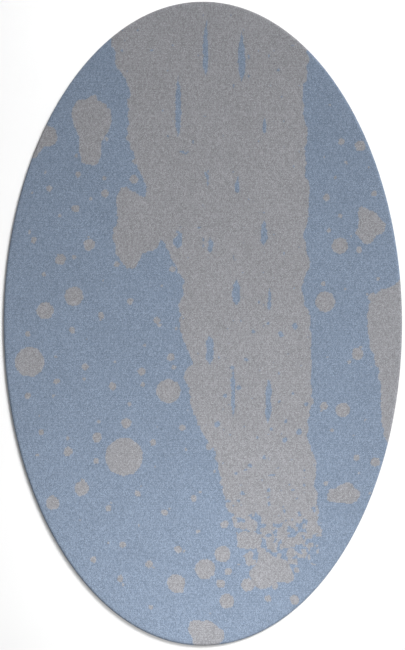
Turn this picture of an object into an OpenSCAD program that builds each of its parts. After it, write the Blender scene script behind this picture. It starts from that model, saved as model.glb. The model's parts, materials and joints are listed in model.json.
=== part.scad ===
// Oval tufted rug in two yarn colours, built up in layers and cut into bands
// across its length, so that it can roll up with its pile inside.
// +X is across the rug, +Y along it, +Z up. The origin is the middle of the underside.

/* [Rug] */
// Width of the oval, across its short axis
rug_w = 1500; // [1450:10:1550]
// Length of the oval, along its long axis
rug_l = 2424; // [2380:4:2480]

/* [Layers] */
// Height of the cut pile above its tufting cloth
pile_h = 10; // [6:1:12]
// Thickness of the tufting cloth that the yarn is punched through
cloth_t = 1; // [0.8:0.1:1.4]
// Thickness of the latex coat above the turned-under cloth
latex_t = 1; // [0.6:0.2:1.6]
// Thickness of the canvas and of the tape around it
canvas_t = 1; // [0.8:0.2:1.6]

/* [Edge] */
// How far the backing stays inside the edge of the pile
edge_inset = 3; // [2:0.5:5]
// Width of the tufting cloth that is turned under at the edge
margin_w = 45; // [40:5:60]
// Width of the tape that covers the edge of the canvas
tape_w = 30; // [20:5:35]

/* [Pattern] */
// Radius of the smallest grey drops
drop_r = 11; // [8:1:16]
// How much wider than that the largest grey drop is
drop_spread = 62; // [40:2:80]

/* [Roll] */
// Angle that each seam between two bands turns through when the rug is rolled up
roll_angle = 60; // [20:5:60]
// How much shorter each band is than the one before it
band_step = 16; // [14:1:18]
// Gap between the pile of two bands at their seam
pile_gap = 0.6; // [0.4:0.2:2]

/* [Hidden] */
BANDS = 10;
LAYERS = ["blue_pile", "grey_pile", "tufting_cloth", "latex_coat", "canvas_backing", "edge_tape"];

margin_t = cloth_t;             // the turned-under cloth is one more thickness
latex_z = canvas_t;             // underside of the latex, inside the turned-under cloth
cloth_z = latex_z + margin_t + latex_t;
pile_z = cloth_z + cloth_t;     // top of the tufting cloth, where the seams turn
rug_t = pile_z + pile_h;
OUTLINE_POINTS = 96;            // a multiple of four, so that the oval keeps its full size
SPILL = 10;                     // how far the shapes that cut the oval pass its edge

// An even, repeatable spread of numbers from 0 to 1
function part_of(i, step) = i * step - floor(i * step);

// The brushed grey field, in rows from the far end of the rug towards the near one
ROWS = 44;
function row_y(i) = rug_l / 2 + 28 - 2150 * i / ROWS;
function left_x(t) = -440 + 560 * pow(t, 0.8) + 26 * sin(900 * t) + 13 * sin(2300 * t + 40);
function right_x(t) = 388 + 50 * pow(t, 3) + 10 * sin(1300 * t) + 8 * sin(3100 * t + 70);
FIELD = concat(
    [for (i = [0:ROWS]) [left_x(i / ROWS), row_y(i)]],
    [for (i = [ROWS:-1:0]) [right_x(i / ROWS), row_y(i)]]
);

// A splash: an oval whose edge swells in and out
function splash(x, y, half_w, half_l, turn) = [
    for (a = [0:18:342])
        let (r = 1 + 0.15 * sin(3 * a + turn) + 0.09 * sin(5 * a + 2 * turn))
            [x + half_w * r * cos(a), y + half_l * r * sin(a)]
];
SPLASHES = [
    splash(-420, 735, 62, 130, 20), splash(-255, 360, 84, 140, 100), splash(-650, 700, 90, 70, 60),
    splash(765, -130, 130, 330, 10), splash(625, 370, 52, 62, 80), splash(10, -1180, 60, 70, 40),
    splash(255, -930, 80, 62, 130), splash(530, -640, 60, 34, 200)
];

// Grey drops: count, left, width, near end, length, smallest radius, spread and how rare the large ones are
function drops(n, x, w, y, l, r, dr, rare) = [
    for (i = [1:n])
        [
            x + w * part_of(i, 0.754878), y + l * part_of(i, 0.569840),
            r + dr * pow(part_of(i, 0.618034), rare)
        ]
];
DROPS = concat(
    drops(58, -680, 740, -1060, 1640, drop_r, drop_spread, 6),
    drops(14, 450, 250, -700, 1400, drop_r, drop_spread / 2, 3),
    drops(20, 60, 360, -1090, 400, drop_r, drop_spread / 3, 2)
);
DROP_SIDES = 12;

// Dry streaks in the field that show blue: left, near end, width and length
STREAKS = [
    for (i = [1:16])
        [
            -130 + 460 * part_of(i, 0.754878), -560 + 1500 * part_of(i, 0.569840),
            12 + 22 * part_of(i, 0.618034), 60 + 190 * pow(part_of(i, 0.414214), 2)
        ]
];

function node_name(layer, k) = str(layer, "_", k);
function oval(inset) = [
    for (i = [0:OUTLINE_POINTS - 1])
        let (a = 360 * i / OUTLINE_POINTS)
            [(rug_w / 2 - inset) * cos(a), (rug_l / 2 - inset) * sin(a)]
];
// Seam number k along the rug: 0 is the first end and BANDS is the last
function seam_y(k) = -rug_l / 2 + k * rug_l / BANDS + band_step * k * (BANDS - k) / 2;
function is_end(k) = k == 0 || k == BANDS;
// Where band k starts and ends at a cut that leaves a gap at each inner seam
function low_y(k, gap) = is_end(k - 1) ? -rug_l / 2 - SPILL : seam_y(k - 1) + gap;
function high_y(k, gap) = is_end(k) ? rug_l / 2 + SPILL : seam_y(k) - gap;

// Stretch of the plan that band k covers
module band_plan(k) {
    translate([-rug_w / 2 - SPILL, low_y(k, 0)])
        square([rug_w + 2 * SPILL, high_y(k, 0) - low_y(k, 0)]);
}

// Layer of band k from z to z + t, inside the oval at the given inset, and
// outside the inner oval if there is one
module layer(k, z, t, inset, inner = 0) {
    translate([0, 0, z])
        linear_extrude(t)
            intersection() {
                difference() {
                    polygon(oval(inset));
                    if (inner > 0) polygon(oval(inner));
                }
                band_plan(k);
            }
}

// Block that band k's pile is cut from: its ends lean back at each seam, so
// that the pile of two bands closes up, and doesn't cross, as the rug rolls
module pile_block(k) {
    lean = pile_h * tan(roll_angle / 2);
    foot = pile_gap / 2;
    translate([-rug_w / 2 - SPILL, 0, 0])
        rotate([90, 0, 90])
            linear_extrude(rug_w + 2 * SPILL)
                polygon([
                    [low_y(k, foot), pile_z], [high_y(k, foot), pile_z],
                    [high_y(k, foot + lean), rug_t], [low_y(k, foot + lean), rug_t]
                ]);
}

// Plan of the grey yarn near band k
module grey_plan(k) {
    mid = (seam_y(k - 1) + seam_y(k)) / 2;
    half = (seam_y(k) - seam_y(k - 1)) / 2;
    difference() {
        polygon(FIELD);
        for (s = STREAKS)
            if (s[1] < mid + half && s[1] + s[3] > mid - half)
                translate([s[0], s[1]]) square([s[2], s[3]]);
    }
    for (outline = SPLASHES) polygon(outline);
    for (d = DROPS)
        if (abs(d[1] - mid) < half + d[2])
            translate([d[0], d[1]]) circle(r = d[2], $fn = DROP_SIDES);
}

module blue_pile(k) {
    color([0.53, 0.60, 0.70])
        intersection() {
            pile_block(k);
            translate([0, 0, pile_z])
                linear_extrude(pile_h)
                    difference() {
                        polygon(oval(0));
                        grey_plan(k);
                    }
        }
}

module grey_pile(k) {
    color([0.61, 0.61, 0.63])
        intersection() {
            pile_block(k);
            translate([0, 0, pile_z])
                linear_extrude(pile_h)
                    intersection() {
                        polygon(oval(0));
                        grey_plan(k);
                    }
        }
}

// Cloth that the yarn is tufted through, with its margin turned under
module tufting_cloth(k) {
    fold = edge_inset + cloth_t;
    color([0.80, 0.80, 0.76])
        union() {
            layer(k, cloth_z, cloth_t, edge_inset);
            layer(k, latex_z + margin_t, latex_t, edge_inset, fold);
            layer(k, latex_z, margin_t, edge_inset, edge_inset + margin_w);
        }
}

// Latex that locks the tufts, thicker where there is no turned-under cloth
module latex_coat(k) {
    color([0.86, 0.82, 0.68])
        union() {
            layer(k, latex_z + margin_t, latex_t, edge_inset + cloth_t);
            layer(k, latex_z, margin_t, edge_inset + margin_w);
        }
}

module canvas_backing(k) {
    color([0.78, 0.72, 0.60])
        layer(k, 0, canvas_t, edge_inset + tape_w);
}

module edge_tape(k) {
    color([0.70, 0.66, 0.58])
        layer(k, 0, canvas_t, edge_inset, edge_inset + tape_w);
}

for (k = [1:BANDS]) {
    blue_pile(k);
    grey_pile(k);
    tufting_cloth(k);
    latex_coat(k);
    canvas_backing(k);
    edge_tape(k);
}
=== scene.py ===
"""The looks of an oval cut-pile rug that rolls up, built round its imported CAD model.

Lengths are in metres, apart from the pattern's, which are in millimetres.
"""

import json
import math

import bmesh
import bpy
import numpy as np
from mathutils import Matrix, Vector


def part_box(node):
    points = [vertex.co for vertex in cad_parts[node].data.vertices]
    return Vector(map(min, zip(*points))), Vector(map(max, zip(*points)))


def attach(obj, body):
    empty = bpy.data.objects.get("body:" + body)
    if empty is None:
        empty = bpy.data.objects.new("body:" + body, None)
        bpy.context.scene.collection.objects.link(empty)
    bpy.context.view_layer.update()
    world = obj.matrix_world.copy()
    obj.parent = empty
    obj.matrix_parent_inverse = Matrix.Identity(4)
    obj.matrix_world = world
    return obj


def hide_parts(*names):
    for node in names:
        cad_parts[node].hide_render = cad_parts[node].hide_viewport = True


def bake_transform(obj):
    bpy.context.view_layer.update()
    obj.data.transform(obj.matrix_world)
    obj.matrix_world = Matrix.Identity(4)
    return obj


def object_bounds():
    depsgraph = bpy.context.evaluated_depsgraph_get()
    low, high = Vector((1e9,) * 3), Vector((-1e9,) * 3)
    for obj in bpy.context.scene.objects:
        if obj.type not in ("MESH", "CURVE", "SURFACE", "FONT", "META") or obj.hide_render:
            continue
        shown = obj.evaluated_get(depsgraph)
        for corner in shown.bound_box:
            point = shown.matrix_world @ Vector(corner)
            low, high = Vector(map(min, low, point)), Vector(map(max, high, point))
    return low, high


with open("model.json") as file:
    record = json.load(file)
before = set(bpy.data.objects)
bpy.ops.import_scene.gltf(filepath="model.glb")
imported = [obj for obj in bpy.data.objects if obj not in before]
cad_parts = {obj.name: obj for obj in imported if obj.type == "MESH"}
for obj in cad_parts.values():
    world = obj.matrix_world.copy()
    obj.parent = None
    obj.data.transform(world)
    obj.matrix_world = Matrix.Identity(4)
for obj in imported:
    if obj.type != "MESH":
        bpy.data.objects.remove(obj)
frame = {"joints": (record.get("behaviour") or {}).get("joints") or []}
CAD_LOW, CAD_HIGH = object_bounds()

# ---------------------------------------------------------------- sizes that come from the frame

MM = 0.001
HALF_WIDTH = CAD_HIGH.x
HALF_LENGTH = CAD_HIGH.y
SEAMS = [CAD_LOW.y, *(joint["pos_m"][1] for joint in frame["joints"]), CAD_HIGH.y]
BANDS = len(SEAMS) - 1
WIDEST = next(k for k in range(1, BANDS + 1) if SEAMS[k - 1] < 0 <= SEAMS[k])


def layer(node):
    """How far a layer is drawn in from the rug's edge, and its lowest and highest point."""
    low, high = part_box(f"{node}_{WIDEST}")
    return CAD_HIGH.x - high.x, low.z, high.z


PILE_LOW, PILE_HIGH = layer("blue_pile")[1:]
LATEX_LOW, LATEX_HIGH = layer("latex_coat")[1:]
CLOTH_INSET, CLOTH_LOW, CLOTH_HIGH = layer("tufting_cloth")
CANVAS_INSET, CANVAS_LOW, CANVAS_HIGH = layer("canvas_backing")
TAPE_INSET, TAPE_LOW, TAPE_HIGH = layer("edge_tape")

# ---------------------------------------------------------------- sizes chosen here

PILE_STEP = 0.004  # the pile's mesh, about one tuft to a point
PILE_COLUMNS = 2 * round(HALF_WIDTH / PILE_STEP)
LAST_STEP_BIAS = 0.2  # a column's last step is from 0.7 to 1.7 steps long
PILE_TOP = PILE_HIGH - 0.0007  # the tuft tips lie about this height
RIM_START = 0.009  # the pile's top starts to round off this far from the edge
# The rounded edge below that, as how far in a point lies and its share of the pile's height.
RIM = [(0.0060, 0.93), (0.0033, 0.79), (0.0012, 0.59), (0.0, 0.35), (0.0009, 0.10), (0.003, 0.0)]
MARGIN = 0.048  # the cloth's turned-under edge reaches this far in
CLOTH_THICK = 0.001
BACKING_STEP = 0.012
TAPE_WIDTH = CANVAS_INSET - TAPE_INSET
TIP_ROWS = 30  # rows of a backing layer in each end band
TIP_LOOPS = 81  # loops of an edge strip round each end band
EDGE_SAMPLES = 2001  # points that measure the way round the edge
CREASE_DEGREES = 40  # a backing layer keeps a crease at steeper edges
TOUCH = 1e-6  # two places nearer than this are one
POINTED = 1e-4  # a layer narrower than this ends in a point

# Noises, each as its height, the size of its cells and its seed.
TUFTS = (0.00052, 0.0045, 1)
CLUMPS = (0.00022, 0.013, 2)
DRIFTS = (0.00025, 0.085, 3)
NOISE_BORDER = 0.5  # the grid of cells is this much longer than the rug

# ---------------------------------------------------------------- the pattern, in millimetres

# The spread of drops and streaks: each number moves on by the step of its kind.
ACROSS_STEP, ALONG_STEP, WIDE_STEP, LONG_STEP = 0.754878, 0.569840, 0.618034, 0.414214

FIELD_ROWS = 44
FIELD_REACH = 2150
FIELD_START = 28  # it starts this far beyond the rug's far end
# An edge of the field: its x at the far end, its drift and the drift's power, then two waves, each as
# its height, how many degrees it turns over the whole reach and where it starts.
LEFT_EDGE = (-440, 560, 0.8, [(26, 900, 0), (13, 2300, 40)])
RIGHT_EDGE = (388, 50, 3, [(10, 1300, 0), (8, 3100, 70)])
FOOT_START, FOOT_LENGTH = -560, 330  # the field breaks up from here towards its foot
HOLE_LEVEL, HOLE_RISE = -1.1, 1.3  # noise below this level is a hole, and the level rises towards the foot
STREAK_RAGGED, SPLASH_RAGGED = 0.3, 0.5  # the share of the field's raggedness that these edges have

DROP_SMALL, DROP_SPREAD = 11, 62

# A splash: its middle's x and y, its half width and half length, and how far its swelling edge is turned.
SPLASHES = [
    (-420, 735, 62, 130, 20),
    (-255, 360, 84, 140, 100),
    (-650, 700, 90, 70, 60),
    (765, -130, 130, 330, 10),
    (625, 370, 52, 62, 80),
    (10, -1180, 60, 70, 40),
    (255, -930, 80, 62, 130),
    (530, -640, 60, 34, 200),
]


def part_of(i, step):
    """An even, repeatable spread of numbers from 0 to 1."""
    return i * step % 1


def wave(degrees):
    return math.sin(math.radians(degrees))


def edge_x(edge, t):
    """Where an edge of the field lies, at a share t of the field's reach."""
    start, drift, power, waves = edge
    return start + drift * t**power + sum(height * wave(turn * t + first) for height, turn, first in waves)


def field():
    """The brushed grey field's outline: down its left edge and back up its right one."""
    left, right = [], []
    for i in range(FIELD_ROWS + 1):
        t = i / FIELD_ROWS
        y = HALF_LENGTH / MM + FIELD_START - FIELD_REACH * t
        left.append((edge_x(LEFT_EDGE, t), y))
        right.append((edge_x(RIGHT_EDGE, t), y))
    return left + right[::-1]


def splash(x, y, half_width, half_length, turn):
    """A rounded outline that swells in three places, and a little in five."""
    outline = []
    for a in range(0, 360, 6):
        r = 1 + 0.15 * wave(3 * a + turn) + 0.09 * wave(5 * a + 2 * turn)
        outline.append((x + half_width * r * wave(a + 90), y + half_length * r * wave(a)))
    return outline


def drops(count, x, width, y, length, small, spread, rare):
    """Drops spread evenly over a box, as middles and radii. The larger rare is, the fewer are large."""
    made = []
    for i in range(1, count + 1):
        r = small + spread * part_of(i, WIDE_STEP) ** rare
        made.append((x + width * part_of(i, ACROSS_STEP), y + length * part_of(i, ALONG_STEP), r))
    return made


def streaks(count, x, width, y, length, thin, wide, short, long):
    """Upright streaks spread evenly over a box, each an outline tapered at both ends."""
    made = []
    for i in range(1, count + 1):
        left = x + width * part_of(i, ACROSS_STEP)
        low = y + length * part_of(i, ALONG_STEP)
        right = left + thin + wide * part_of(i, WIDE_STEP)
        high = low + short + long * part_of(i, LONG_STEP) ** 2
        middle, near, far = (left + right) / 2, 0.8 * low + 0.2 * high, 0.3 * low + 0.7 * high
        made.append([(middle, low), (right, near), (right, far), (middle, high), (left, far), (left, near)])
    return made


# How many, then the box they lie in (left, width, near end, length), then their sizes.
GREY_DROPS = [
    *drops(58, -680, 740, -1060, 1640, DROP_SMALL, DROP_SPREAD, 6),
    *drops(14, 450, 250, -700, 1400, DROP_SMALL, DROP_SPREAD / 2, 3),
    *drops(20, 60, 360, -1090, 400, DROP_SMALL, DROP_SPREAD / 3, 2),
]
GREY_SPECKS = [
    *drops(90, -690, 780, -1100, 1900, 3, 7, 2),
    *drops(40, 440, 290, -800, 1700, 3, 6, 2),
]
BLUE_STREAKS = streaks(16, -130, 460, -560, 1500, 12, 22, 60, 190)
BLUE_SPECKS = drops(50, 40, 360, -880, 900, 3, 9, 2)

# Noises that move the pattern's edges, each as its height, the size of its cells in metres and its seed.
SHIFT_X = [(2.2, 0.012, 11), (1.6, 0.005, 12)]
SHIFT_Y = [(2.2, 0.012, 13), (1.6, 0.005, 14)]
RAGGED = [(9, 0.045, 15), (6, 0.018, 16)]
LACE = [(1, 0.019, 21), (0.5, 0.0095, 22)]  # the holes in the field's foot


# ---------------------------------------------------------------- noise and the pattern's painting


def value_noise(x, y, cell, seed):
    """Smooth noise from -1 to 1, with one seeded value at each corner of a grid of square cells."""
    span = 2 * HALF_LENGTH + NOISE_BORDER
    count = int(span / cell) + 3
    values = np.random.default_rng(seed).uniform(-1, 1, (count, count))
    across = (x + span / 2) / cell
    up = (y + span / 2) / cell
    i = np.clip(np.floor(across).astype(int), 0, count - 2)
    j = np.clip(np.floor(up).astype(int), 0, count - 2)
    s = across - i
    t = up - j
    s = s * s * (3 - 2 * s)
    t = t * t * (3 - 2 * t)
    low = values[i, j] * (1 - s) + values[i + 1, j] * s
    high = values[i, j + 1] * (1 - s) + values[i + 1, j + 1] * s
    return low * (1 - t) + high * t


def noises(x, y, *kinds):
    """The sum of several noises."""
    return sum(height * value_noise(x, y, cell, seed) for height, cell, seed in kinds)


def inside(x, y, outline):
    """True where a point lies inside a closed outline."""
    found = np.zeros(len(x), bool)
    corners = np.array(outline, float)
    (x0, y0), (x1, y1) = corners.min(0), corners.max(0)
    near = np.flatnonzero((x >= x0) & (x <= x1) & (y >= y0) & (y <= y1))
    px, py = x[near], y[near]
    odd = np.zeros(len(near), bool)
    for (ax, ay), (bx, by) in zip(corners, np.roll(corners, -1, axis=0)):
        if ay != by:
            crosses = (ay > py) != (by > py)
            odd ^= crosses & (px < (bx - ax) * (py - ay) / (by - ay) + ax)
    found[near] = odd
    return found


def in_drop(x, y, drop):
    middle_x, middle_y, radius = drop
    return np.hypot(x - middle_x, y - middle_y) < radius


def grey_share(x, y):
    """1 where a tuft is grey and 0 where it is blue. The pattern's edges step from tuft to tuft."""
    px = x / MM + noises(x, y, *SHIFT_X)
    py = y / MM + noises(x, y, *SHIFT_Y)
    ragged = noises(x, y, *RAGGED)
    grey = inside(px + ragged, py, field())
    for outline in BLUE_STREAKS:
        grey &= ~inside(px + STREAK_RAGGED * ragged, py + ragged, outline)
    for drop in BLUE_SPECKS:
        grey &= ~in_drop(px, py, drop)
    foot = np.clip((FOOT_START - py) / FOOT_LENGTH, 0, 1)
    grey &= noises(x, y, *LACE) > HOLE_RISE * foot + HOLE_LEVEL
    for shape in SPLASHES:
        grey |= inside(px + SPLASH_RAGGED * ragged, py + SPLASH_RAGGED * ragged, splash(*shape))
    for drop in GREY_DROPS + GREY_SPECKS:
        grey |= in_drop(px, py, drop)
    return grey.astype(float)


# ---------------------------------------------------------------- meshes


def half_chord(inset, y):
    """Half the oval's width at y, with its edge drawn in by inset."""
    return (HALF_WIDTH - inset) * np.sqrt(np.clip(1 - (y / (HALF_LENGTH - inset)) ** 2, 0, None))


def half_rise(inset, x):
    """How far the oval reaches along y at x, with its edge drawn in by inset."""
    return (HALF_LENGTH - inset) * np.sqrt(np.clip(1 - (x / (HALF_WIDTH - inset)) ** 2, 0, None))


def new_object(name, points, faces, material):
    mesh = bpy.data.meshes.new(name)
    mesh.from_pydata([tuple(p) for p in points], [], faces)
    mesh.materials.append(material)
    work = bmesh.new()
    work.from_mesh(mesh)
    bmesh.ops.recalc_face_normals(work, faces=work.faces)
    work.to_mesh(mesh)
    work.free()
    piece = bpy.data.objects.new(name, mesh)
    bpy.context.scene.collection.objects.link(piece)
    mesh.polygons.foreach_set("use_smooth", np.ones(len(mesh.polygons), bool))
    return piece


def vector_attribute(mesh, name, values):
    attribute = mesh.attributes.new(name, "FLOAT_VECTOR", "POINT")
    attribute.data.foreach_set("vector", np.asarray(values, np.float32).ravel())


def float_attribute(mesh, name, values):
    attribute = mesh.attributes.new(name, "FLOAT", "POINT")
    attribute.data.foreach_set("value", np.asarray(values, np.float32))


def sharpen(mesh, limit_degrees=None):
    """Keeps a crease at the cut ends that meet the next band and, given a limit, at steeper edges."""
    work = bmesh.new()
    work.from_mesh(mesh)
    for edge in work.edges:
        a, b = (v.co.y for v in edge.verts)
        at_seam = abs(a - b) < TOUCH and min(abs(a - s) for s in SEAMS[1:-1]) < TOUCH
        steep = limit_degrees is not None and edge.calc_face_angle(0) > math.radians(limit_degrees)
        edge.smooth = not (at_seam or steep)
    work.to_mesh(mesh)
    work.free()


def tuft_height(x, y):
    """The pile's top at a point, with the tufts, clumps and slow waves of a real one."""
    return PILE_TOP + noises(x, y, TUFTS, CLUMPS, DRIFTS)


def rim_height(share):
    return PILE_LOW + share * (PILE_TOP - PILE_LOW)


def straight_pile(y0, y1):
    """The pile between two seams: rows straight across the rug, each one closed round its section."""
    rows = np.linspace(y0, y1, round((y1 - y0) / PILE_STEP) + 1)
    columns = np.linspace(-1, 1, PILE_COLUMNS + 1)
    points = []
    for y in rows:
        x = columns * half_chord(RIM_START, y)
        side = [(half_chord(inset, y), rim_height(share)) for inset, share in RIM]
        left = np.array([(-half, y, z) for half, z in reversed(side)])
        top = np.column_stack([x, np.full(len(x), y), tuft_height(x, np.full(len(x), y))])
        right = np.array([(half, y, z) for half, z in side])
        points.append(np.concatenate([left, top, right]))
    width = len(points[0])
    faces = []
    for j in range(len(rows) - 1):
        here, there = j * width, (j + 1) * width
        for i in range(width):
            n = (i + 1) % width
            faces.append((here + i, here + n, there + n, there + i))
    faces.append(tuple(range(width)))
    faces.append(tuple(range((len(rows) - 1) * width, len(rows) * width)))
    return np.concatenate(points), faces


def add_face(faces, corners):
    """Adds a face without its repeated corners, unless fewer than three are left."""
    corners = [int(c) for n, c in enumerate(corners) if c != corners[n - 1]]
    if len(corners) > 2:
        faces.append(tuple(corners))


def tip_top(seam, outward, x, rise):
    """The top of the pile beyond the last seam. Its columns reach from the seam as far as rise says.

    Gives the points, the faces, and the number of each column's first and last point.
    """
    count = np.maximum(np.round(rise / PILE_STEP - LAST_STEP_BIAS).astype(int), 1)
    count[[0, -1]] = 0
    first = np.concatenate([[0], np.cumsum(count + 1)])[:-1]
    px, py = [], []
    for i in range(len(x)):
        steps = np.minimum(np.arange(count[i] + 1) * PILE_STEP, rise[i])
        steps[-1] = rise[i]
        px.append(np.full(len(steps), x[i]))
        py.append(seam + outward * steps)
    px, py = np.concatenate(px), np.concatenate(py)
    faces = []
    for i in range(len(x) - 1):
        here, there = count[i], count[i + 1]
        for j in range(max(here, there)):
            near = [first[i] + min(j, here), first[i + 1] + min(j, there)]
            far = [first[i + 1] + min(j + 1, there), first[i] + min(j + 1, here)]
            add_face(faces, near + far)
    last = [int(n) for n in first + count]
    return np.column_stack([px, py, tuft_height(px, py)]), faces, [int(n) for n in first], last


def tip_rim(seam, outward, x, rise):
    """The rounded edge beyond the last seam: one ring of points for each point of RIM."""
    angle = np.arctan2((rise + abs(seam)) / (HALF_LENGTH - RIM_START), x / (HALF_WIDTH - RIM_START))
    opening = math.pi / 2 - math.asin(abs(seam) / (HALF_LENGTH - RIM_START))
    rings = []
    for inset, share in RIM:
        own_opening = math.pi / 2 - math.asin(abs(seam) / (HALF_LENGTH - inset))
        turned = math.pi / 2 + (angle - math.pi / 2) * own_opening / opening
        ring_x = (HALF_WIDTH - inset) * np.cos(turned)
        ring_y = outward * (HALF_LENGTH - inset) * np.sin(turned)
        ring_y[[0, -1]] = seam
        rings.append(np.column_stack([ring_x, ring_y, np.full(len(x), rim_height(share))]))
    return rings


def tip_pile(seam, outward):
    """The pile beyond the last seam: columns that run along the rug to its rounded end."""
    x = np.linspace(-1, 1, PILE_COLUMNS + 1) * half_chord(RIM_START, seam)
    rise = half_rise(RIM_START, x) - abs(seam)
    rise[[0, -1]] = 0
    top, faces, cut_edge, rounded_edge = tip_top(seam, outward, x, rise)
    rim = tip_rim(seam, outward, x, rise)
    starts = [len(top) + n * len(x) for n in range(len(rim))]
    rings = [rounded_edge, *(list(range(start, start + len(x))) for start in starts)]
    for ring, following in zip(rings, rings[1:]):
        for i in range(PILE_COLUMNS):
            faces.append((ring[i], ring[i + 1], following[i + 1], following[i]))
    bottom = rings[-1]
    middle = PILE_COLUMNS // 2
    for i in range(middle - 1):
        j = PILE_COLUMNS - i
        faces.append((bottom[i], bottom[i + 1], bottom[j - 1], bottom[j]))
    faces.append((bottom[middle - 1], bottom[middle], bottom[middle + 1]))
    left = [ring[0] for ring in reversed(rings[1:])]
    right = [ring[-1] for ring in rings[1:]]
    faces.append((*left, *cut_edge, *right))
    return np.concatenate([top, *rim]), faces


def row_heights(k, inset):
    """Where the rows of a backing layer lie along the rug, in band k."""
    y0, y1 = SEAMS[k - 1], SEAMS[k]
    reach = HALF_LENGTH - inset
    if 1 < k < BANDS:
        return np.linspace(y0, y1, max(2, round((y1 - y0) / BACKING_STEP)) + 1)
    seam = abs(y1 if k == 1 else y0)
    angles = np.linspace(math.asin(seam / reach), math.pi / 2, TIP_ROWS)
    rows = reach * np.sin(angles)
    rows[0] = seam
    return -rows[::-1] if k == 1 else rows


def slab(k, inset, low, high):
    """A closed flat layer of band k, with its rows straight across the rug."""
    points, loops = [], []
    for y in row_heights(k, inset):
        half = float(half_chord(inset, y))
        first = len(points)
        if half < POINTED:
            points += [(0.0, y, low), (0.0, y, high)]
            loops.append([first, first, first + 1, first + 1])
        else:
            points += [(-half, y, low), (half, y, low), (half, y, high), (-half, y, high)]
            loops.append([first, first + 1, first + 2, first + 3])
    return points, join_loops(loops)


def join_loops(loops):
    """Faces between closed loops of points in a row, with a cap on each open end."""
    faces = []
    for here, there in zip(loops, loops[1:]):
        for i in range(len(here)):
            n = (i + 1) % len(here)
            add_face(faces, [here[i], here[n], there[n], there[i]])
    for loop in (loops[0], loops[-1]):
        if len(set(loop)) == len(loop):
            faces.append(tuple(loop))
    return faces


def side_run(k, profile, side):
    """The loops of an edge strip along one side of band k."""
    run = []
    for y in row_heights(k, 0):
        run.append([(side * float(half_chord(inset, y)), y, z) for inset, z in profile])
    return run


def tip_run(k, profile):
    """The loops of an edge strip round the end of band k, the first or the last one."""
    seam, outward = (SEAMS[1], -1) if k == 1 else (SEAMS[-2], 1)
    run = []
    for share in np.linspace(-1, 1, TIP_LOOPS):
        loop = []
        for inset, z in profile:
            opening = math.pi / 2 - math.asin(abs(seam) / (HALF_LENGTH - inset))
            angle = math.pi / 2 - share * opening
            y = outward * (HALF_LENGTH - inset) * math.sin(angle)
            loop.append(((HALF_WIDTH - inset) * math.cos(angle), seam if abs(share) == 1 else y, z))
        run.append(loop)
    return run


def edge_strips(k, profile):
    """A closed strip that follows the rug's edge in band k. The profile's points are (inset, height)."""
    if 1 < k < BANDS:
        runs = [side_run(k, profile, side) for side in (-1, 1)]
    else:
        runs = [tip_run(k, profile)]
    points, faces = [], []
    for run in runs:
        loops = []
        for loop in run:
            loops.append(list(range(len(points), len(points) + len(loop))))
            points += loop
        faces += join_loops(loops)
    return points, faces


def merged(*parts):
    """Several closed shells as one list of points and one of faces."""
    points, faces = [], []
    for more_points, more_faces in parts:
        faces += [tuple(i + len(points) for i in face) for face in more_faces]
        points += [tuple(p) for p in more_points]
    return points, faces


# ---------------------------------------------------------------- materials


class Nodes:
    """A short way to build one material's node tree."""

    def __init__(self, name, roughness, sheen=0.0, sheen_roughness=0.5, specular=0.3):
        self.material = bpy.data.materials.new(name)
        self.material.use_nodes = True
        self.tree = self.material.node_tree
        self.shader = self.tree.nodes["Principled BSDF"]
        self.shader.inputs["Roughness"].default_value = roughness
        self.shader.inputs["Sheen Weight"].default_value = sheen
        self.shader.inputs["Sheen Roughness"].default_value = sheen_roughness
        self.shader.inputs["Specular IOR Level"].default_value = specular

    def add(self, kind, links=None, values=None, **settings):
        node = self.tree.nodes.new("ShaderNode" + kind)
        for key, value in settings.items():
            setattr(node, key, value)
        for key, value in (values or {}).items():
            node.inputs[key].default_value = value
        for key, source in (links or {}).items():
            self.tree.links.new(source, node.inputs[key])
        return node

    def attribute(self, name, output="Vector"):
        return self.add("Attribute", attribute_name=name).outputs[output]

    def math(self, operation, a, b=None, clamp=False):
        node = self.add("Math", operation=operation, use_clamp=clamp)
        for n, value in enumerate((a, b)):
            if isinstance(value, (int, float)):
                node.inputs[n].default_value = value
            elif value is not None:
                self.tree.links.new(value, node.inputs[n])
        return node.outputs[0]

    def noise(self, place, scale, detail):
        return self.add("TexNoise", {"Vector": place}, {"Scale": scale, "Detail": detail}).outputs["Fac"]

    def ramp(self, value, low, high, to_low=0.0, to_high=1.0):
        """value from low to high becomes to_low to to_high, and no further."""
        values = {"From Min": low, "From Max": high, "To Min": to_low, "To Max": to_high}
        return self.add("MapRange", {"Value": value}, values).outputs[0]

    def mix(self, share, a, b, blend="MIX"):
        node = self.add("Mix", data_type="RGBA", blend_type=blend)
        for key, value in ((0, share), (6, a), (7, b)):
            if isinstance(value, tuple):
                node.inputs[key].default_value = (*value, 1.0)
            elif isinstance(value, (int, float)):
                node.inputs[key].default_value = value
            else:
                self.tree.links.new(value, node.inputs[key])
        return node.outputs[2]

    def shade(self, colour, amount):
        """A colour made lighter or darker by a factor."""
        grey = self.add("CombineColor", {"Red": amount, "Green": amount, "Blue": amount})
        return self.mix(1.0, colour, grey.outputs[0], "MULTIPLY")

    def finish(self, colour, height, strength, distance):
        bump = self.add("Bump", {"Height": height}, {"Strength": strength, "Distance": distance})
        self.tree.links.new(colour, self.shader.inputs["Base Color"])
        self.tree.links.new(bump.outputs[0], self.shader.inputs["Normal"])
        return self.material


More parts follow.
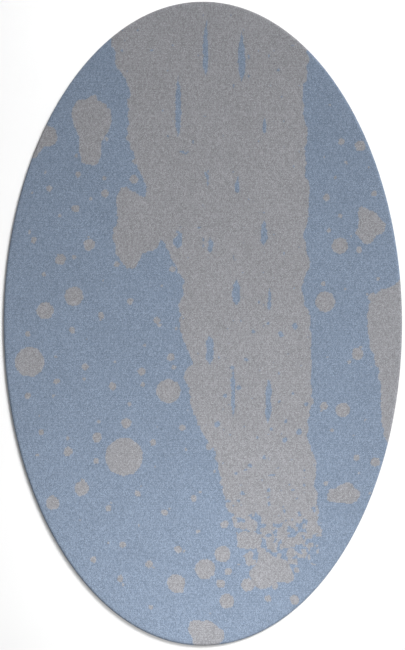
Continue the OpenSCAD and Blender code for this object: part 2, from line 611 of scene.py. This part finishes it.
# Each material's deep and pale colour.
BLUE = (0.135, 0.174, 0.237), (0.198, 0.247, 0.323)
GREY = (0.192, 0.194, 0.207), (0.272, 0.275, 0.293)
TUFTING_CLOTH = (0.50, 0.49, 0.43), (0.74, 0.73, 0.68)
CANVAS = (0.28, 0.225, 0.155), (0.49, 0.42, 0.315)
TAPE = (0.32, 0.27, 0.21), (0.56, 0.50, 0.41)
LATEX = (0.62, 0.55, 0.38), (0.78, 0.73, 0.56)
FLOOR_PALENESS = (0.60, 0.98)  # at the rug's near end and at its far end
PICK_STRETCH = (0.45, 1.0, 1.0)  # the pile's short cross rows are longer along x
TWILL_TURN = 2700.0  # radians of twill to a metre of tape
TWILL_RIB = 0.005


def yarn_tone_and_painted_light(nodes, place, tufts, fibre):
    """How light the yarn is: clumps, cross rows and slow patches of tone, with a painted highlight on the
    tuft tips and painted shade in the gaps between tufts.
    """
    clump = nodes.noise(place, 70.0, 2.0)
    drift = nodes.noise(place, 5.0, 3.0)
    rows = nodes.add(
        "TexWave",
        {"Vector": place},
        {"Scale": 36.0, "Distortion": 2.2, "Detail": 1.5, "Detail Scale": 2.0},
        bands_direction="Y",
    ).outputs["Fac"]
    stretched = nodes.add("VectorMath", {0: place}, {1: PICK_STRETCH}, operation="MULTIPLY").outputs[0]
    picks = nodes.noise(stretched, 330.0, 2.0)
    light = nodes.ramp(fibre, 0.25, 0.75, 0.90, 1.10)
    light = nodes.math("ADD", light, nodes.ramp(clump, 0.3, 0.7, -0.04, 0.04))
    light = nodes.math("MULTIPLY", light, nodes.ramp(drift, 0.3, 0.7, 0.97, 1.03))
    light = nodes.math("ADD", light, nodes.ramp(rows, 0.0, 1.0, -0.03, 0.03))
    # painted shade: the yarn is darker in the gaps between tufts, and a painted highlight makes their tips
    # a little paler
    light = nodes.math("MULTIPLY", light, nodes.ramp(tufts.outputs["Distance"], 0.45, 0.8, 1.03, 0.78))
    light = nodes.math("MULTIPLY", light, nodes.ramp(picks, 0.30, 0.70, 1.055, 0.945))
    return nodes.math("MULTIPLY", light, nodes.ramp(picks, 0.60, 0.72, 1.0, 0.88))


def yarn_material():
    nodes = Nodes("yarn", roughness=0.95, sheen=0.15, specular=0.1)
    place = nodes.attribute("rest")
    tufts = nodes.add("TexVoronoi", {"Vector": place}, {"Scale": 260.0}, voronoi_dimensions="3D")
    fibre = nodes.noise(place, 520.0, 3.0)
    stray = nodes.math("MULTIPLY", nodes.math("SUBTRACT", fibre, 0.5), 0.9)
    is_grey = nodes.ramp(nodes.math("ADD", nodes.attribute("grey", "Fac"), stray), 0.24, 0.52)
    tone = nodes.ramp(tufts.outputs["Color"], 0.15, 0.85)
    colour = nodes.mix(is_grey, nodes.mix(tone, *BLUE), nodes.mix(tone, *GREY))
    colour = nodes.shade(colour, yarn_tone_and_painted_light(nodes, place, tufts, fibre))
    heap = nodes.math("SUBTRACT", nodes.math("MULTIPLY", fibre, 0.5), tufts.outputs["Distance"])
    return nodes.finish(colour, heap, 0.55, 0.0016)


def woven_height(nodes, place, pitch):
    """Threads that pass over and under each other: a high patch where one is on top."""
    axes = nodes.add("SeparateXYZ", {"Vector": place})
    turn = 2 * math.pi / pitch
    across = nodes.math("SINE", nodes.math("MULTIPLY", axes.outputs["X"], turn))
    along = nodes.math("SINE", nodes.math("MULTIPLY", axes.outputs["Y"], turn))
    return nodes.math("MULTIPLY", across, along)


def cloth_material(name, colours, pitch, relief):
    """A plain weave with slubs: thicker, paler threads here and there, and painted shade where the weave's
    threads pass under.
    """
    nodes = Nodes(name, roughness=0.9, sheen=0.1)
    place = nodes.attribute("rest")
    weave = woven_height(nodes, place, pitch)
    slub = nodes.noise(place, 90.0, 4.0)
    stain = nodes.noise(place, 4.0, 3.0)
    # painted shade: the cloth is darker where the weave is low and paler where a thread lies on top
    tone = nodes.math("ADD", nodes.ramp(weave, -1.0, 1.0, 0.1, 0.7), nodes.ramp(slub, 0.3, 0.7, -0.2, 0.3))
    colour = nodes.mix(nodes.math("ADD", tone, 0.0, clamp=True), *colours)
    colour = nodes.shade(colour, nodes.ramp(stain, 0.3, 0.7, 0.93, 1.05))
    return nodes.finish(colour, nodes.math("ADD", weave, slub), 0.6, relief)


def tape_material():
    """A herringbone tape: twill lines that turn back at each rib, painted paler on their ridges and darker
    in their grooves. Its place runs along and across it.
    """
    nodes = Nodes("edge_tape", roughness=0.85, sheen=0.2)
    place = nodes.attribute("rest")
    axes = nodes.add("SeparateXYZ", {"Vector": place})
    zigzag = nodes.math("PINGPONG", axes.outputs["Y"], TWILL_RIB)
    slanted = nodes.math("ADD", axes.outputs["X"], zigzag)
    twill = nodes.math("SINE", nodes.math("MULTIPLY", slanted, TWILL_TURN))
    worn = nodes.noise(place, 60.0, 4.0)
    # painted shade: the twill's grooves are darker and its ridges paler
    colour = nodes.mix(nodes.ramp(twill, -1.0, 1.0), *TAPE)
    colour = nodes.shade(colour, nodes.ramp(worn, 0.3, 0.7, 0.88, 1.08))
    return nodes.finish(colour, nodes.math("ADD", twill, worn), 0.6, 0.0004)


def latex_material():
    nodes = Nodes("latex", roughness=0.55, specular=0.4)
    skin = nodes.noise(nodes.attribute("rest"), 130.0, 5.0)
    colour = nodes.mix(nodes.ramp(skin, 0.3, 0.7), *LATEX)
    return nodes.finish(colour, skin, 0.4, 0.0006)


def floor_material():
    """A pale backdrop, a little deeper where the lamps are brightest, so that it looks even."""
    nodes = Nodes("floor", roughness=0.9, specular=0.1)
    place = nodes.add("TexCoord").outputs["Object"]
    grain = nodes.noise(place, 3.0, 2.0)
    along = nodes.add("SeparateXYZ", {"Vector": place}).outputs["Y"]
    pale = nodes.ramp(along, -HALF_LENGTH, HALF_LENGTH, *FLOOR_PALENESS)
    pale = nodes.math("MULTIPLY", pale, nodes.ramp(grain, 0.3, 0.7, 0.99, 1.0))
    return nodes.finish(nodes.shade((1.0, 1.0, 1.0), pale), grain, 0.02, 0.001)


# ---------------------------------------------------------------- the rug


def band_area(k, inset):
    """The flat area of band k, with the rug's edge drawn in by inset."""
    rows = row_heights(k, inset)
    chords = 2 * half_chord(inset, rows)
    return float(np.sum((chords[1:] + chords[:-1]) / 2 * np.diff(rows)))


def band_flat(k, inset):
    """The widest and longest of band k: the piece of cloth it is cut from."""
    rows = row_heights(k, inset)
    return 2 * float(half_chord(inset, rows).max()), float(rows[-1] - rows[0])


def follow(piece, k):
    """Band 1 is attached to its body. Every other band has its place baked into its mesh and is attached to
    none.
    """
    if k == 1:
        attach(piece, "band_1")
    else:
        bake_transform(piece)


def edge_places(points):
    """For each point of the tape, its place along the edge and how far in it lies."""
    points = np.array(points)
    turn = np.arctan2(points[:, 1] / HALF_LENGTH, points[:, 0] / HALF_WIDTH)
    angles = np.linspace(-math.pi, math.pi, EDGE_SAMPLES)
    steps = np.hypot(np.diff(HALF_WIDTH * np.cos(angles)), np.diff(HALF_LENGTH * np.sin(angles)))
    along = np.interp(turn, angles, np.concatenate([[0], np.cumsum(steps)]))
    share = np.hypot(points[:, 0] / HALF_WIDTH, points[:, 1] / HALF_LENGTH)
    reach = np.hypot(HALF_WIDTH * np.cos(turn), HALF_LENGTH * np.sin(turn))
    return np.column_stack([along, (1 - share) * reach, points[:, 2]])


def pile_piece(k, material):
    if k == 1:
        points, faces = tip_pile(SEAMS[1], -1)
    elif k == BANDS:
        points, faces = tip_pile(SEAMS[-2], 1)
    else:
        points, faces = straight_pile(SEAMS[k - 1], SEAMS[k])
    piece = new_object(f"pile_{k}", points, faces, material)
    sharpen(piece.data)
    vector_attribute(piece.data, "rest", points)
    float_attribute(piece.data, "grey", grey_share(points[:, 0], points[:, 1]))
    follow(piece, k)
    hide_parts(f"blue_pile_{k}", f"grey_pile_{k}")
    band_flat(k, 0)
    band_area(k, 0)


def backing_piece(k, name, node, material, shape, places=None):
    points, faces = shape
    piece = new_object(f"{name}_{k}", points, faces, material)
    sharpen(piece.data, CREASE_DEGREES)
    vector_attribute(piece.data, "rest", points if places is None else places)
    follow(piece, k)
    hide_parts(f"{node}_{k}")
    return piece


def cloth_shape(k):
    """The tufting cloth, with its edge turned under and glued."""
    top = slab(k, CLOTH_INSET, CLOTH_HIGH - CLOTH_THICK, CLOTH_HIGH)
    low, wall = CLOTH_LOW, CLOTH_INSET + CLOTH_THICK
    hem = [
        (CLOTH_INSET, CLOTH_HIGH - CLOTH_THICK),
        (CLOTH_INSET, low),
        (MARGIN, low),
        (MARGIN, low + CLOTH_THICK),
        (wall, low + CLOTH_THICK),
        (wall, CLOTH_HIGH - CLOTH_THICK),
    ]
    return merged(top, edge_strips(k, hem))


def latex_shape(k):
    """The latex that holds the tufts, down to the canvas inside the turned-under margin."""
    step = CLOTH_LOW + CLOTH_THICK
    upper = slab(k, CLOTH_INSET + CLOTH_THICK, step, LATEX_HIGH)
    return merged(upper, slab(k, MARGIN, LATEX_LOW, step))


def tape_profile():
    inner = TAPE_INSET + TAPE_WIDTH
    return [(TAPE_INSET, TAPE_LOW), (inner, TAPE_LOW), (inner, TAPE_HIGH), (TAPE_INSET, TAPE_HIGH)]


def tape_length(k):
    """The edge's length in band k, both sides together."""
    rows = row_heights(k, 0)
    one_side = np.hypot(np.diff(half_chord(0, rows)), np.diff(rows)).sum()
    return float(2 * one_side)


def make_rug():
    yarn = yarn_material()
    cloth = cloth_material("tufting_cloth", TUFTING_CLOTH, pitch=0.003, relief=0.0004)
    canvas = cloth_material("canvas", CANVAS, pitch=0.0044, relief=0.0005)
    latex = latex_material()
    tape = tape_material()
    for k in range(1, BANDS + 1):
        pile_piece(k, yarn)
        piece = backing_piece(k, "cloth", "tufting_cloth", cloth, cloth_shape(k))
        band_flat(k, CLOTH_INSET)
        band_area(k, CLOTH_INSET)
        backing_piece(k, "latex", "latex_coat", latex, latex_shape(k))
        sheet = slab(k, CANVAS_INSET, CANVAS_LOW, CANVAS_HIGH)
        piece = backing_piece(k, "canvas", "canvas_backing", canvas, sheet)
        band_flat(k, CANVAS_INSET)
        band_area(k, CANVAS_INSET)
        strips = edge_strips(k, tape_profile())
        piece = backing_piece(k, "tape", "edge_tape", tape, strips, edge_places(strips[0]))
        tape_length(k)


# ---------------------------------------------------------------- floor, light and camera

FLOOR_REACH = 60.0
FLOOR_DROP = 0.0006  # the floor lies this far below the rug, so that the two never share a plane

# Each lamp's name, power, place, target, size and the spread of its beam in degrees.
LAMPS = [
    ("key", 222.0, (5.4, 5.4, 6.4), (-0.75, -3.3, 0.0), 4.8, 49.0),
    ("lower", 8.55, (0.15, -1.1, 1.15), (-0.45, -1.6, 0.0), 0.7, 180.0),
    ("upper", 2.6, (-0.35, 1.5, 1.15), (-0.35, 1.5, 0.0), 0.9, 180.0),
]
AMBIENT = 0.325  # the strength of the white sky

LENS_MM, SENSOR_MM = 85.0, 36.0
SHOWN_LENGTH = 2.444  # what the frame's long side takes in, a little more than the rug
AIM = (-0.0015, -0.0051)  # the camera stands above this point
SEEN_TO = 200.0  # the floor's far corners lie within this


def make_floor():
    corners = [(-1, -1), (1, -1), (1, 1), (-1, 1)]
    mesh = bpy.data.meshes.new("floor")
    points = [(x * FLOOR_REACH, y * FLOOR_REACH, CAD_LOW.z - FLOOR_DROP) for x, y in corners]
    mesh.from_pydata(points, [], [(0, 1, 2, 3)])
    mesh.materials.append(floor_material())
    floor = bpy.data.objects.new("floor", mesh)
    bpy.context.scene.collection.objects.link(floor)


def make_lamp(name, power, place, target, size, spread_degrees):
    """A round soft lamp at a place, turned to a target. A small spread narrows its beam."""
    data = bpy.data.lights.new(name, "AREA")
    data.energy = power
    data.shape = "DISK"
    data.size = size
    data.spread = math.radians(spread_degrees)
    lamp = bpy.data.objects.new(name, data)
    bpy.context.scene.collection.objects.link(lamp)
    lamp.location = place
    lamp.rotation_euler = (Vector(place) - Vector(target)).to_track_quat("Z", "Y").to_euler()


def make_world():
    """A white sky all round, and colours shown as they are."""
    world = bpy.data.worlds.new("studio")
    world.use_nodes = True
    background = world.node_tree.nodes["Background"]
    background.inputs["Color"].default_value = (1.0, 1.0, 1.0, 1.0)
    background.inputs["Strength"].default_value = AMBIENT
    bpy.context.scene.world = world
    bpy.context.scene.view_settings.view_transform = "Standard"


def make_camera():
    """Straight above the rug."""
    data = bpy.data.cameras.new("camera")
    data.lens = LENS_MM
    data.sensor_width = SENSOR_MM
    data.clip_end = SEEN_TO
    camera = bpy.data.objects.new("camera", data)
    bpy.context.scene.collection.objects.link(camera)
    camera.location = (*AIM, PILE_TOP + SHOWN_LENGTH / 2 * LENS_MM / (SENSOR_MM / 2))
    bpy.context.scene.camera = camera


make_rug()
make_floor()
for lamp in LAMPS:
    make_lamp(*lamp)
make_world()
make_camera()

bpy.context.view_layer.update()
